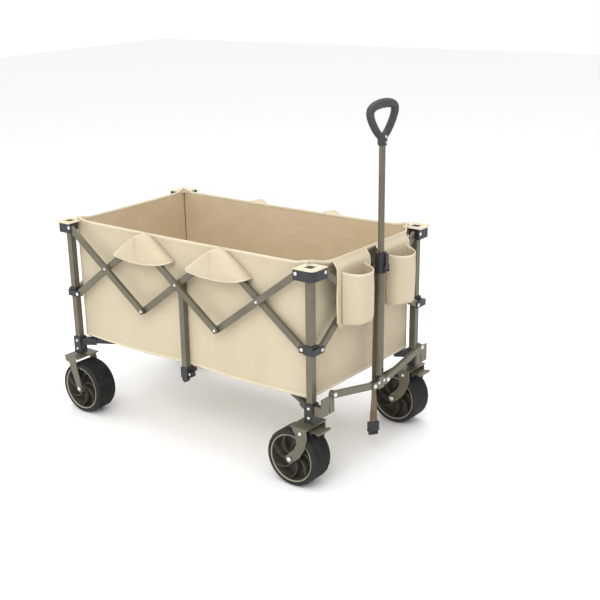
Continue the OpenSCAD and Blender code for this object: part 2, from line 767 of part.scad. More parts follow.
module wheel_rear_right() { translate([xr + rear_axle_ahead, -yp, wheel_r]) wheel(); }
module wheel_rear_left() { translate([xr + rear_axle_ahead, yp, wheel_r]) wheel(); }
module wheel_front_right() { translate([xf - caster_trail, -yp, wheel_r]) wheel(); }
module wheel_front_left() { translate([xf - caster_trail, yp, wheel_r]) wheel(); }

module yoke_arm_right() { color(c_steel) yoke_arm(); }
module yoke_arm_left() { color(c_steel) to_left() yoke_arm(); }

module floor_arm_rear_right() { color(c_plastic) at_rear_right() floor_arm(); }
module floor_arm_rear_left() { to_left() floor_arm_rear_right(); }
module floor_arm_front_right() { color(c_plastic) at_front_right() floor_arm(); }
module floor_arm_front_left() { to_left() floor_arm_front_right(); }

post_rear_right();
post_rear_left();
post_front_right();
post_front_left();
fitting_rear_right();
fitting_rear_left();
fitting_front_right();
fitting_front_left();
slider_rear_right();
slider_rear_left();
slider_front_right();
slider_front_left();
right_link_1a();
right_link_1b();
right_link_2a();
right_link_2b();
right_link_3a();
right_link_3b();
left_link_1a();
left_link_1b();
left_link_2a();
left_link_2b();
left_link_3a();
left_link_3b();
rear_link_1a();
rear_link_1b();
rear_link_2a();
rear_link_2b();
front_link_1a();
front_link_1b();
front_link_2a();
front_link_2b();
mid_post_right();
mid_post_left();
rear_fork_right();
rear_fork_left();
caster_fork_right();
caster_fork_left();
brake_pedal_right();
brake_pedal_left();
wheel_rear_right();
wheel_rear_left();
wheel_front_right();
wheel_front_left();
yoke_arm_right();
yoke_arm_left();
color(c_steel) yoke_hub();
color(c_steel) handle_lower_tube();
color(c_steel) handle_upper_tube();
color(c_plastic) handle_collar();
color(c_plastic) collar_lever();
color(c_plastic) handle_grip();
floor_arm_rear_right();
floor_arm_rear_left();
floor_arm_front_right();
floor_arm_front_left();
color(c_fabric) basket();
color(c_web) strap();
color(c_plastic) strap_buckle();
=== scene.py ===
# %% [markdown]
# # A folding beach cart
# The steel frame, joints and brackets come finished from the CAD model. This lesson adds what
# Blender does best: sewn fabric, treaded tyres, rivets, webbing, and a material for every surface.
# First the frame is loaded.

# %% Load the frame
import json
from math import atan2, cos, hypot, pi, radians, sin

import bmesh
import bpy
from mathutils import Matrix, Vector, noise


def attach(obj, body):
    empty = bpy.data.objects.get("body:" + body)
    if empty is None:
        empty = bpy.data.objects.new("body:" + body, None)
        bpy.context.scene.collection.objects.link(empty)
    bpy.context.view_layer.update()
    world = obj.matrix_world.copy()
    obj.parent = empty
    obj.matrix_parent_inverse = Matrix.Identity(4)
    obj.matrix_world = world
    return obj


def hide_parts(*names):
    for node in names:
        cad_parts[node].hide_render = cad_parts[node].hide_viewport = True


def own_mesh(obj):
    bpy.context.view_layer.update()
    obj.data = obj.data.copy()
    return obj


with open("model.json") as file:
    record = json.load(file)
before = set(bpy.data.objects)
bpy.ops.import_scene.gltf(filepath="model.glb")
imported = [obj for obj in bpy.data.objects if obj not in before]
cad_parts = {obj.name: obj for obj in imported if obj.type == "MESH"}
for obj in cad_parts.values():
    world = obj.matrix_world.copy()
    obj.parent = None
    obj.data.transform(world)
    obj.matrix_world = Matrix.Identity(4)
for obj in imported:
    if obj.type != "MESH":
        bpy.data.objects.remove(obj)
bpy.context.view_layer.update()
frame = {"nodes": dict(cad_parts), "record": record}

# %% [markdown]
# The camera stands to the cart's front right, a little above it, and rolls slightly.
# Its place is worked out from a direction and a distance, so it is easy to change.

# %% Camera
azimuth, elevation, roll, distance = radians(40.66), radians(19.68), radians(-1.89), 3.6175
back = Vector((sin(azimuth) * cos(elevation), -cos(azimuth) * cos(elevation), sin(elevation)))
right = (-back).cross(Vector((0, 0, 1))).normalized()
up = right.cross(-back)
right_r = right * cos(roll) + up * sin(roll)
up_r = up * cos(roll) - right * sin(roll)
camera = bpy.data.objects.new("camera", bpy.data.cameras.new("camera"))
bpy.context.scene.collection.objects.link(camera)
camera.matrix_world = Matrix.Translation(Vector((-0.01785, 0, 0.3)) + back * distance) @ Matrix(
    (right_r, up_r, back)).transposed().to_4x4()
camera.data.sensor_width, camera.data.lens = 36, 64.41
camera.data.shift_x, camera.data.shift_y = 0.0977, 0.0532
bpy.context.scene.camera = camera
print("camera stands", distance, "m away")

# %% [markdown]
# Sizes of the frame that the pieces are built around, in metres. They repeat the CAD's own values.

# %% Sizes shared with the frame
rear_x, front_x, post_y = -0.51785, 0.48215, 0.28
wall_rear, wall_front, wall_y = rear_x + 0.0165, front_x - 0.0165, 0.2635
floor_z, rim_z, bracket_top = 0.268, 0.684, 0.674
pivot_in, top_z, slide_z = 0.028, 0.661, 0.427
mid_z = (top_z + slide_z) / 2
cell = (front_x - rear_x - 2 * pivot_in) / 3
layers = (0.024, 0.012, 0.0)
link_half_t = 0.0057
cross_y, high_z, low_z = 0.09467, 0.6144, 0.4736
handle_x, hub_z, hub_y, yoke_z, yoke_y = front_x + 0.051, 0.25, 0.036, 0.292, 0.24
wheel_r, rear_axle_x, front_axle_x = 0.090, rear_x + 0.031, front_x - 0.048
first_x = rear_x + pivot_in
# share of its length and of its width that the cloth keeps when the cart is folded
keep_x, keep_y = 0.305, 0.319
corners = {"rear_right": (rear_x, -1, -1), "rear_left": (rear_x, 1, -1),
           "front_right": (front_x, -1, 1), "front_left": (front_x, 1, 1)}
print("cells of the long sides:", round(cell, 4))

# %% [markdown]
# ## Materials
# Effects that several finishes share are node groups: a weave, a grain, and dust with wear.
# Each group puts out only values that change over the surface. Fixed values stay on the shader.

# %% Node helpers
def new_group(name, inputs, outputs):
    group = bpy.data.node_groups.new(name, "ShaderNodeTree")
    for label, kind, value in inputs:
        socket = group.interface.new_socket(name=label, in_out="INPUT", socket_type=kind)
        if value is not None:
            socket.default_value = value
    for label, kind in outputs:
        group.interface.new_socket(name=label, in_out="OUTPUT", socket_type=kind)
    return group, group.nodes.new("NodeGroupInput"), group.nodes.new("NodeGroupOutput")


def add(tree, kind, **settings):
    node = tree.nodes.new(kind)
    for key, value in settings.items():
        setattr(node, key, value)
    return node


def math_node(tree, operation, a, b=None):
    node = add(tree, "ShaderNodeMath", operation=operation)
    for socket, value in zip(node.inputs, (a, b)):
        if isinstance(value, (int, float)):
            socket.default_value = value
        elif value is not None:
            tree.links.new(value, socket)
    return node.outputs[0]


# %% [markdown]
# Plain weave: threads cross over and under each other, so the height is a product of two sine
# waves, one along each thread direction. The map is in metres, so the count is threads a metre.

# %% Weave group
weave, weave_in, weave_out = new_group(
    "plain_weave", [("Vector", "NodeSocketVector", None), ("Threads", "NodeSocketFloat", 620.0)],
    [("Height", "NodeSocketFloat"), ("Slub", "NodeSocketFloat")])
split = add(weave, "ShaderNodeSeparateXYZ")
weave.links.new(weave_in.outputs["Vector"], split.inputs[0])
turns = math_node(weave, "MULTIPLY", weave_in.outputs["Threads"], 2 * pi)
waves = [math_node(weave, "SINE", math_node(weave, "MULTIPLY", split.outputs[i], turns)) for i in (0, 1)]
weave.links.new(math_node(weave, "MULTIPLY", *waves), weave_out.inputs["Height"])
slub = add(weave, "ShaderNodeTexNoise")
stretch = add(weave, "ShaderNodeVectorMath", operation="MULTIPLY")
stretch.inputs[1].default_value = (30, 900, 1)
weave.links.new(weave_in.outputs["Vector"], stretch.inputs[0])
weave.links.new(stretch.outputs[0], slub.inputs["Vector"])
slub.inputs["Scale"].default_value = 1.0
weave.links.new(slub.outputs[0], weave_out.inputs["Slub"])
print("weave puts out:", [socket.name for socket in weave_out.inputs if socket.name])

# %% [markdown]
# Grain is a fine noise for moulded plastic and powder coat. Dust is a broad noise that mixes
# two colours, and raises the roughness where the dust lies.

# %% Grain and dust groups
grain, grain_in, grain_out = new_group(
    "fine_grain", [("Vector", "NodeSocketVector", None), ("Scale", "NodeSocketFloat", 900.0)],
    [("Height", "NodeSocketFloat")])
grain_noise = add(grain, "ShaderNodeTexNoise")
grain_noise.inputs["Detail"].default_value = 3
grain.links.new(grain_in.outputs["Vector"], grain_noise.inputs["Vector"])
grain.links.new(grain_in.outputs["Scale"], grain_noise.inputs["Scale"])
grain.links.new(grain_noise.outputs[0], grain_out.inputs["Height"])

dust, dust_in, dust_out = new_group(
    "dust_and_wear",
    [("Vector", "NodeSocketVector", None), ("Scale", "NodeSocketFloat", 9.0),
     ("Clean", "NodeSocketColor", (0.5, 0.5, 0.5, 1)), ("Worn", "NodeSocketColor", (0.6, 0.6, 0.6, 1)),
     ("Smooth", "NodeSocketFloat", 0.4), ("Rough", "NodeSocketFloat", 0.6)],
    [("Color", "NodeSocketColor"), ("Roughness", "NodeSocketFloat")])
dust_noise = add(dust, "ShaderNodeTexNoise")
dust_noise.inputs["Detail"].default_value = 6
dust_noise.inputs["Roughness"].default_value = 0.62
dust.links.new(dust_in.outputs["Vector"], dust_noise.inputs["Vector"])
dust.links.new(dust_in.outputs["Scale"], dust_noise.inputs["Scale"])
ramp = add(dust, "ShaderNodeValToRGB")
ramp.color_ramp.elements[0].position, ramp.color_ramp.elements[1].position = 0.38, 0.68
dust.links.new(dust_noise.outputs[0], ramp.inputs[0])
mix = add(dust, "ShaderNodeMix", data_type="RGBA")
dust.links.new(ramp.outputs[0], mix.inputs["Factor"])
dust.links.new(dust_in.outputs["Clean"], mix.inputs[6])
dust.links.new(dust_in.outputs["Worn"], mix.inputs[7])
dust.links.new(mix.outputs[2], dust_out.inputs["Color"])
span = math_node(dust, "SUBTRACT", dust_in.outputs["Rough"], dust_in.outputs["Smooth"])
dusty = math_node(dust, "MULTIPLY", ramp.outputs[0], span)
dust.links.new(math_node(dust, "ADD", dust_in.outputs["Smooth"], dusty), dust_out.inputs["Roughness"])
print("groups:", [g.name for g in bpy.data.node_groups])

# %% [markdown]
# One function builds every finish from the groups. Cloth reads its own map, laid out in metres,
# so that the weave follows the cloth. Hard parts read Object coordinates.

# %% Finish builder
def finish(name, clean, worn, rough=(0.4, 0.6), scale=9, bump=("grain", 900, 0.15), metallic=0.0,
           sheen=0.0, coat=0.0, specular=0.5):
    material = bpy.data.materials.new(name)
    material.use_nodes = True
    tree = material.node_tree
    shader = tree.nodes["Principled BSDF"]
    place = add(tree, "ShaderNodeTexCoord")
    group = add(tree, "ShaderNodeGroup", node_tree=dust)
    tree.links.new(place.outputs["Object"], group.inputs["Vector"])
    group.inputs["Scale"].default_value = scale
    group.inputs["Clean"].default_value = (*clean, 1)
    group.inputs["Worn"].default_value = (*worn, 1)
    group.inputs["Smooth"].default_value, group.inputs["Rough"].default_value = rough
    tree.links.new(group.outputs["Color"], shader.inputs["Base Color"])
    tree.links.new(group.outputs["Roughness"], shader.inputs["Roughness"])
    shader.inputs["Metallic"].default_value = metallic
    shader.inputs["Sheen Weight"].default_value = sheen
    shader.inputs["Sheen Roughness"].default_value = 0.5
    shader.inputs["Coat Weight"].default_value = coat
    shader.inputs["Specular IOR Level"].default_value = specular
    kind, size, strength = bump
    relief = add(tree, "ShaderNodeBump")
    relief.inputs["Strength"].default_value = strength
    relief.inputs["Distance"].default_value = 0.0004
    if kind == "weave":
        source = add(tree, "ShaderNodeGroup", node_tree=weave)
        source.inputs["Threads"].default_value = size
        uv = add(tree, "ShaderNodeUVMap", uv_map="cloth")
        tree.links.new(uv.outputs[0], source.inputs["Vector"])
        # soft creases lie under the threads, as a second and much larger bump
        crease = add(tree, "ShaderNodeTexNoise")
        crease.inputs["Scale"].default_value = 7
        crease.inputs["Detail"].default_value = 3
        crease.inputs["Distortion"].default_value = 0.8
        tree.links.new(place.outputs["Object"], crease.inputs["Vector"])
        large = add(tree, "ShaderNodeBump")
        large.inputs["Strength"].default_value = 0.35
        large.inputs["Distance"].default_value = 0.02
        tree.links.new(crease.outputs[0], large.inputs["Height"])
        tree.links.new(large.outputs[0], relief.inputs["Normal"])
        height = math_node(tree, "ADD", source.outputs["Height"], source.outputs["Slub"])
        tree.links.new(height, relief.inputs["Height"])
        tint = add(tree, "ShaderNodeMix", data_type="RGBA", blend_type="MULTIPLY")
        tint.inputs["Factor"].default_value = 0.16
        tree.links.new(group.outputs["Color"], tint.inputs[6])
        tree.links.new(source.outputs["Slub"], tint.inputs[7])
        tree.links.new(tint.outputs[2], shader.inputs["Base Color"])
    else:
        source = add(tree, "ShaderNodeGroup", node_tree=grain)
        source.inputs["Scale"].default_value = size
        tree.links.new(place.outputs["Object"], source.inputs["Vector"])
        tree.links.new(source.outputs["Height"], relief.inputs["Height"])
    tree.links.new(relief.outputs[0], shader.inputs["Normal"])
    return material


# %% [markdown]
# Each finish has a clean and a worn colour, a range of roughness, the scale of its patches, and a
# relief. Woven cloth gets some sheen, paint a little coat, and only the rivets are bare metal.

# %% Finishes
canvas = finish("beige_canvas", (0.62, 0.53, 0.37), (0.67, 0.58, 0.42), (0.82, 0.9), 5,
                ("weave", 620, 0.5), sheen=0.25, specular=0.2)
# the inner faces: the same canvas, its colour painted a little darker as shade
canvas_inside_shaded = finish("canvas_painted_shade", (0.62, 0.50, 0.33), (0.67, 0.55, 0.38), (0.84, 0.92), 5,
                ("weave", 620, 0.4), sheen=0.15, specular=0.2)
binding = finish("edge_binding", (0.76, 0.67, 0.49), (0.80, 0.72, 0.55), (0.75, 0.85), 20,
                 ("weave", 900, 0.6), sheen=0.2, specular=0.25)
# the upright corner seams: real seams, their dark brown is painted shade of the inner corners
seam_painted_shade = finish("seam_tape_painted_shade", (0.13, 0.085, 0.05), (0.19, 0.13, 0.08), (0.75, 0.88), 30,
                   ("weave", 700, 0.6), sheen=0.1, specular=0.2)
thread = finish("sewing_thread", (0.62, 0.49, 0.31), (0.70, 0.56, 0.37), (0.6, 0.7), 60)
webbing = finish("brown_webbing", (0.16, 0.105, 0.06), (0.24, 0.165, 0.10), (0.7, 0.85), 30,
                 ("weave", 330, 1.0), sheen=0.2, specular=0.25)
paint = finish("olive_powder_coat", (0.112, 0.100, 0.066), (0.150, 0.135, 0.094), (0.36, 0.48), 14,
               ("grain", 1400, 0.12), metallic=0.25, coat=0.12)
plastic = finish("black_moulded_plastic", (0.012, 0.0125, 0.014), (0.028, 0.028, 0.03), (0.38, 0.55), 18,
                 ("grain", 2200, 0.22))
grip_rubber = finish("soft_grip", (0.022, 0.022, 0.024), (0.045, 0.045, 0.047), (0.5, 0.68), 16,
                     ("grain", 1500, 0.35))
tyre_rubber = finish("tyre_rubber", (0.008, 0.008, 0.009), (0.024, 0.024, 0.025), (0.6, 0.8), 22,
                     ("grain", 700, 0.4), specular=0.35)
rim_plastic = finish("rim_plastic", (0.045, 0.041, 0.030), (0.075, 0.068, 0.050), (0.4, 0.55), 16)
# the rim's outer lip: the rim's own plastic, painted paler as a highlight
rim_lip_highlight = finish("rim_lip_highlight", (0.30, 0.27, 0.20), (0.36, 0.33, 0.25), (0.32, 0.45), 20, metallic=0.2)
rivet_steel = finish("rivet_steel", (0.80, 0.79, 0.77), (0.62, 0.61, 0.59), (0.2, 0.36), 60,
                     ("grain", 3000, 0.1), metallic=1.0)
print("finishes:", len(bpy.data.materials))

# %% [markdown]
# The CAD nodes keep their meshes. They get finishes by their material slot in the record, and a
# few of them are two parts in reality, so their faces are shared out by where they are.

# %% Finishes on the CAD nodes
slot_finish = {"painted_steel": paint, "fitting_plastic": plastic, "trim_plastic": plastic,
               "tyre_rubber": tyre_rubber, "oxford_fabric": canvas, "webbing": webbing}
for sub in frame["record"]["subparts"]:
    mesh = frame["nodes"][sub["node"]].data
    mesh.materials.clear()
    mesh.materials.append(slot_finish[sub["material_slot"]])
for side in ("right", "left"):
    mesh = frame["nodes"]["mid_post_" + side].data
    mesh.materials.append(plastic)
    for face in mesh.polygons:
        if face.center.z < 0.2645:
            face.material_index = 1
    mesh = frame["nodes"]["brake_pedal_" + side].data
    mesh.materials.append(tyre_rubber)
    for face in mesh.polygons:
        if face.center.z < 0.181 and face.center.x > front_x + 0.001:
            face.material_index = 1

# %% [markdown]
# ## Helpers for pieces
# A cloth surface starts as a flat grid, gets a map in metres, and is then laid in place by a
# rule from the grid's two shares. The mesh is built where it belongs, so the object stays at
# the origin.

# %% Making a piece
def piece(name, bm, body, *finishes, slot=None, flat=False, sharp=None):
    bmesh.ops.recalc_face_normals(bm, faces=bm.faces)
    mesh = bpy.data.meshes.new(name)
    bm.to_mesh(mesh)
    bm.free()
    for face in mesh.polygons:
        face.use_smooth = not flat
    if sharp:
        mesh.set_sharp_from_angle(angle=radians(sharp))
    for each in finishes:
        mesh.materials.append(each)
    ob = bpy.data.objects.new(name, mesh)
    bpy.context.scene.collection.objects.link(ob)
    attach(ob, body)
    return ob


def cloth(across, down, width, height, lay, merge=False):
    bm = bmesh.new()
    uv = bm.loops.layers.uv.new("cloth")
    bmesh.ops.create_grid(bm, x_segments=across, y_segments=down, size=0.5)
    for face in bm.faces:
        for loop in face.loops:
            loop[uv].uv = ((loop.vert.co.x + 0.5) * width, (loop.vert.co.y + 0.5) * height)
    for v in bm.verts:
        v.co = lay(min(max(v.co.x + 0.5, 0), 1), min(max(v.co.y + 0.5, 0), 1))
    if merge:
        bmesh.ops.remove_doubles(bm, verts=bm.verts, dist=1e-6)
    return bm


def sewn(name, bm, body, centre, thickness=0.0019, outer=None, inner=None):
    """A cloth sheet that faces away from centre, thickened inwards, with its own inner finish. By default the
    inner face takes the canvas painted darker as shade.
    """
    bm.normal_update()
    vote = sum((f.calc_center_median() - Vector(centre)).dot(f.normal) * f.calc_area() for f in bm.faces)
    if vote < 0:
        bmesh.ops.reverse_faces(bm, faces=bm.faces)
    mesh = bpy.data.meshes.new(name)
    bm.to_mesh(mesh)
    bm.free()
    for face in mesh.polygons:
        face.use_smooth = True
    mesh.materials.append(outer or canvas)
    mesh.materials.append(inner or canvas_inside_shaded)
    ob = bpy.data.objects.new(name, mesh)
    bpy.context.scene.collection.objects.link(ob)
    solid = ob.modifiers.new("thickness", "SOLIDIFY")
    solid.thickness, solid.offset, solid.material_offset = thickness, -1, 1
    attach(ob, body)
    return ob


def cord_mesh(path, half_width, half_depth, side, round_n=8):
    """A closed flat or round tube along points. side(i) gives the direction of its width."""
    n = len(path)
    spans = [(Vector(path[min(i + 1, n - 1)]) - Vector(path[max(i - 1, 0)])).normalized() for i in range(n)]
    run = sum((Vector(path[i + 1]) - Vector(path[i])).length for i in range(n - 1))

    def lay(u, v):
        i = round(u * (n - 1))
        wide = Vector(side(i)).normalized()
        deep = spans[i].cross(wide)
        return Vector(path[i]) + wide * half_width * cos(2 * pi * v) + deep * half_depth * sin(2 * pi * v)

    bm = cloth(n - 1, round_n, run, 4 * half_width, lay, merge=True)
    rims = [e for e in bm.edges if e.is_boundary]
    bmesh.ops.holes_fill(bm, edges=rims, sides=0)
    return bm, run


def stitch_line(bm, path, spacing=0.006, size=0.00045):
    """Little bars along a path, one for each visible stitch."""
    points = [Vector(p) for p in path]
    gap, left = spacing, 0.0
    for a, b in zip(points, points[1:]):
        length = (b - a).length
        if length < 1e-6:
            continue
        way = (b - a) / length
        turn = way.to_track_quat("X", "Z").to_matrix().to_4x4()
        at = left
        while at < length:
            bar = bmesh.ops.create_cube(bm, size=1.0)
            bmesh.ops.transform(bm, verts=bar["verts"], matrix=Matrix.Translation(a + way * at) @ turn
                                @ Matrix.Diagonal((spacing * 0.6, size * 1.6, size * 1.6, 1)))
            at += gap
        left = at - length


# %% [markdown]
# ## The strap
# A flat webbing strap hangs from the middle of the front end, behind the handle, and ends in a
# side-release buckle. It is swept along the path it follows, and the path's length is worked out.

# %% Strap and buckle
strap_x = front_x + 0.0329
strap_path = []
for i in range(29):
    s = i / 28
    strap_path.append((strap_x + 0.0010 * sin(9 * s), 0.0035 * sin(5.2 * s) * s, 0.598 - 0.494 * s))
strap_turn = 0.62


def strap_side(i):
    twist = strap_turn * min(1.0, max(0.0, (i / 28 - 0.78) / 0.20))
    return (sin(twist), cos(twist), 0.0)


bm, strap_run = cord_mesh(strap_path, 0.0125, 0.0009, strap_side, 12)
strap = piece("webbing_strap", bm, "front_strap", webbing, slot="webbing")
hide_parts("strap")


def block(bm, at, size, turn=Matrix.Identity(4)):
    made = bmesh.ops.create_cube(bm, size=1.0)
    matrix = Matrix.Translation(at) @ turn @ Matrix.Diagonal((*size, 1))
    bmesh.ops.transform(bm, verts=made["verts"], matrix=matrix)


end_y = strap_path[-1][1]
bm = bmesh.new()
for low, high, wide, deep in ((0.0915, 0.114, 0.0185, 0.0046), (0.0705, 0.0925, 0.0155, 0.0038)):
    block(bm, (strap_x, end_y, (low + high) / 2), (2 * deep, 2 * wide, high - low))
for s in (-1, 1):
    lean = Matrix.Rotation(s * 0.16, 4, "X")
    block(bm, (strap_x, end_y + s * 0.0165, 0.094), (0.0058, 0.0045, 0.022), lean)
for z in (0.0755, 0.083, 0.108):
    block(bm, (strap_x + 0.0042, end_y, z), (0.0014, 0.024, 0.0022))
bmesh.ops.bevel(bm, geom=bm.edges[:], offset=0.0009, affect="EDGES", segments=2, profile=0.5, material=-1)
bmesh.ops.rotate(bm, verts=bm.verts, cent=(strap_x, end_y, 0), matrix=Matrix.Rotation(-strap_turn, 3, "Z"))
buckle = piece("side_release_buckle", bm, "front_strap", plastic, slot="trim_plastic", sharp=40)
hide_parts("strap_buckle")
print("strap length", round(strap_run, 3))

# %% [markdown]
# ## The basket
# The basket is sewn from four wall panels with bound edges. Each panel is its own cloth, because
# a panel can ride on one corner only: the right and rear ones on the rear right corner, the left
# one on the rear left, and the front one on the front right. Between the posts the cloth bellies
# out by up to about a centimetre, and its rim dips in the middle and rises at the corner seams.

# %% Wall panels
def soft(x, y, size, amount):
    """A smooth, repeatable unevenness, used for the slight creases of taut cloth."""
    return amount * noise.noise(Vector((x / size, y / size, 3.1)))


def rim_height(share, length, dip):
    edge = min(share, 1 - share) * length
    rise = max(0.0, 1 - edge / 0.050)
    return rim_z - 0.005 - dip * sin(pi * share) + 0.009 * rise * rise * (3 - 2 * rise)


def bottom_height(share, sag):
    return floor_z + 0.003 - sag * abs(sin(2 * pi * share))


def long_wall(side):
    def lay(u, v):
        x = wall_rear + (wall_front - wall_rear) * u
        low, high = bottom_height(u, 0.006), rim_height(u, wall_front - wall_rear, 0.003)
        z = low + (high - low) * v
        lobe = abs(sin(2 * pi * u))
        belly = (0.0035 + 0.0060 * max(0.0, 1 - v / 0.36)) * lobe ** 0.7 * sin(pi * min(1, v + 0.06))
        # a pressed fold beside the middle post
        fold_x = first_x + 1.5 * cell + 0.024 + 0.02 * (1 - v)
        fold = 0.0022 * max(0.0, 1 - abs(x - fold_x) / 0.008) * (1 - v)
        y = wall_y - 0.0012 + belly - fold + soft(x, z, 0.09, 0.0016) * lobe
        return Vector((x, side * y, z))
    return lay


def rim_lean(y, z):
    """How far the front rim is drawn out by the covers that are sewn to it."""
    up = min(1.0, max(0.0, (z - 0.640) / (rim_z - 0.008 - 0.640)))
    inside = min(1.0, max(0.0, (wall_y - abs(y)) / 0.075))
    return 0.030 * up * up * (3 - 2 * up) * inside * inside * (3 - 2 * inside)


def end_wall(x0, out, front):
    def lay(u, v):
        y = -wall_y + 2 * wall_y * u
        low, high = bottom_height(u, 0.002), rim_height(u, 2 * wall_y, 0.002)
        z = low + (high - low) * v
        slack = 0.009 if front else 0.003
        belly = (0.004 + slack * max(0.0, 1 - v / 0.5)) * sin(pi * u) * sin(pi * min(1, v + 0.03))
        lean = rim_lean(y, z) if front else 0.0
        return Vector((x0 + out * (belly - 0.0012 + lean + soft(y, z, 0.08, 0.0018) * sin(pi * u)), y, z))
    return lay


centre_x = (rear_x + front_x) / 2
walls = []
long_sides = (("right", -1, "corner_rear_right"), ("left", 1, "corner_rear_left"))
short_sides = (("rear", wall_rear, -1, "corner_rear_right"), ("front", wall_front, 1, "corner_front_right"))
for name, side, body in long_sides:
    bm = cloth(150, 44, wall_front - wall_rear, rim_z - floor_z, long_wall(side))
    walls.append(("basket_wall_" + name, bm, body, side, (1, 0, 0), (wall_rear, 0, 0), keep_x))
for name, x0, out, body in short_sides:
    bm = cloth(90, 44, 2 * wall_y, rim_z - floor_z, end_wall(x0, out, out > 0))
    walls.append(("basket_wall_" + name, bm, body, out, (0, 1, 0), (0, -wall_y, 0), keep_y))
for name, bm, body, out, axis, anchor, keep in walls:
    ob = sewn(name, bm, body, (centre_x, 0, 0.47), 0.0022)
    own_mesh(ob)
    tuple(anchor)
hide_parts("basket")

# %% [markdown]
# The rim and the bottom edge are bound with a folded tape. It is a flattened tube along the edge.
# Rows of stitches run about 15 mm inside both edges.

# %% Bindings and rim stitching
def along(count, rule):
    return [rule(i / count) for i in range(count + 1)]


def edge_binding(name, path, body, anchor, keep, wide=0.0055, deep=0.0026, side=(0, 0, 1)):
    bm, _ = cord_mesh(path, wide, deep, lambda i: side, 8)
    ob = piece(name, bm, body, binding, slot="oxford_fabric")
    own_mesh(ob)
    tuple(anchor)
    return ob


for name, side, body in long_sides:
    lay = long_wall(side)
    rim = along(90, lambda u: lay(u, 1.0) - Vector((0, side * 0.001, 0.003)))
    low = along(90, lambda u: lay(u, 0.0) - Vector((0, side * 0.001, -0.003)))
    edge_binding("rim_binding_" + name, rim, body, (wall_rear, 0, 0), keep_x)
    edge_binding("bottom_binding_" + name, low, body, (wall_rear, 0, 0), keep_x)
    bm = bmesh.new()
    for level in (0.965, 0.03):
        stitch_line(bm, along(120, lambda u: lay(u, level) + Vector((0, side * 0.0004, 0))), 0.008)
    for u0 in (0.012, 0.988):
        stitch_line(bm, along(30, lambda v: lay(u0, v) + Vector((0, side * 0.0004, 0))), 0.008)
    ob = piece("wall_stitching_" + name, bm, body, thread, flat=True)
    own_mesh(ob)
for name, x0, out, body in short_sides:
    lay = end_wall(x0, out, out > 0)
    rim = along(60, lambda u: lay(u, 1.0) - Vector((out * 0.001, 0, 0.003)))
    low = along(60, lambda u: lay(u, 0.0) - Vector((out * 0.001, 0, -0.003)))
    edge_binding("rim_binding_" + name, rim, body, (0, -wall_y, 0), keep_y)
    edge_binding("bottom_binding_" + name, low, body, (0, -wall_y, 0), keep_y)
    bm = bmesh.new()
    for level in (0.965, 0.03):
        stitch_line(bm, along(70, lambda u: lay(u, level) + Vector((out * 0.0004, 0, 0))), 0.008)
    ob = piece("wall_stitching_" + name, bm, body, thread, flat=True)
    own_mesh(ob)

# %% [markdown]
# Inside, each corner has an upright seam, coloured dark brown as painted shade of the inner
# corner, and the floor is a thin padded board in four quarters.
# Each quarter rides on its folding arm. This is a simple stand-in: fully
# folded, the quarters' corners still stand out above the rim.

# %% Corner seams and floor boards
# each seam is a thin cord, dark brown as painted shade of its corner
for name, (x, side, end) in corners.items():
    path = [(x - end * 0.0195, side * (wall_y - 0.0030), 0.272 + 0.405 * i / 24) for i in range(25)]
    bm, _ = cord_mesh(path, 0.0024, 0.0024, lambda i: (1, 0, 0), 8)
    piece("corner_seam_" + name, bm, "corner_" + name, seam_painted_shade, slot="oxford_fabric")

for name, (x, side, end) in corners.items():
    half_x, half_y = (wall_front - wall_rear) / 2 - 0.004, wall_y - 0.004

    def lay(u, v):
        inset = 0.0015
        px = centre_x + end * (inset + (half_x - inset) * u)
        py = side * (inset + (half_y - inset) * v)
        crown = 0.0035 * (1 - (2 * u - 1) ** 8) * (1 - (2 * v - 1) ** 8)
        return Vector((px, py, floor_z + 0.001 + crown + soft(px, py, 0.07, 0.0006)))

    # the boards' top faces take the canvas painted darker as shade, their undersides the plain canvas
    ob = sewn("floor_board_" + name, cloth(34, 20, half_x, half_y, lay), "floor_arm_" + name,
              (0, 0, 0), 0.0045, canvas_inside_shaded, canvas)
    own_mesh(ob)
print("seams and boards made for:", list(corners))

# %% [markdown]
# ## Fan-shaped flaps
# Over each upper joint of the long sides sits a flap, sewn to the wall along two slanting seams
# and open at the bottom. The joint holds it off the wall like a small tent: it bridges out from
# the rim, and then falls to a bowed, stitched hem with the links coming out below it.

# %% Flaps
flap_half, flap_drop, flap_lift = 0.122, 0.076, 0.0520


def flap(side, k):
    cx = first_x + k * cell
    top = rim_z - 0.0035

    def lay(u, v):
        # u runs from seam to seam, v from the rim down to the hem
        s = 2 * u - 1
        fall = v ** 1.25
        x = flap_half * s * v
        z = top - fall * (flap_drop + 0.013 * (1 - s * s))
        rise = min(1.0, v / 0.10) ** 0.45
        lift = flap_lift * rise * (1 - abs(s) ** 9) ** 0.45
        puff = 0.0028 * sin(pi * v) * sin(pi * abs(s)) - 0.0016 * v * max(0.0, 1 - abs(s) / 0.07)
        y = wall_y + 0.0022 + lift + puff
        return Vector((cx + x, side * y, z + soft(cx + x, z, 0.03, 0.0009) * v))
    return lay


